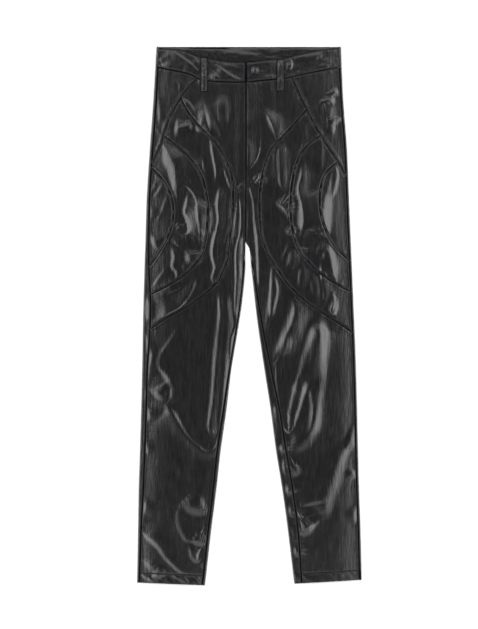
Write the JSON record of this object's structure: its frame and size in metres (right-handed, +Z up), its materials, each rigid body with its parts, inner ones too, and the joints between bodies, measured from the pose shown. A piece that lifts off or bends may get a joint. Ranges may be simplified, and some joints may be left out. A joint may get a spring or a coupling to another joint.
{
  "type": "faux leather trousers",
  "caption": "Black faux leather trousers laid flat, with round panel seams on both fronts, a waistband with belt loops, a fly and a button.",
  "frame": {"origin": "on the surface that the trousers lie on, under the middle of their outline", "axes": "+Z up out of the front, +Y towards the waist, +X towards the wearer's left"},
  "size_m": [0.4105, 0.985, 0.0098],
  "materials": {
    "coated_cloth": "smooth black coated cloth with a soft gloss",
    "zip_tape": "woven black tape",
    "gunmetal": "dark polished metal"
  },
  "bodies": {
    "root": {"front_main_right": "coated_cloth", "front_main_left": "coated_cloth", "hip_side_right": "coated_cloth", "hip_side_left": "coated_cloth", "outer_round_right": "coated_cloth", "outer_round_left": "coated_cloth", "middle_round_right": "coated_cloth", "middle_round_left": "coated_cloth", "inner_round_right": "coated_cloth", "inner_round_left": "coated_cloth", "back_right": "coated_cloth", "back_left": "coated_cloth", "waistband_back": "coated_cloth", "waistband_front_right": "coated_cloth", "waistband_front_left": "coated_cloth", "belt_loop_right": "coated_cloth", "belt_loop_left": "coated_cloth", "fly_shield": "coated_cloth", "zip_tape": "zip_tape", "zip_slider": "gunmetal", "button": "gunmetal"}
  },
  "joints": []
}
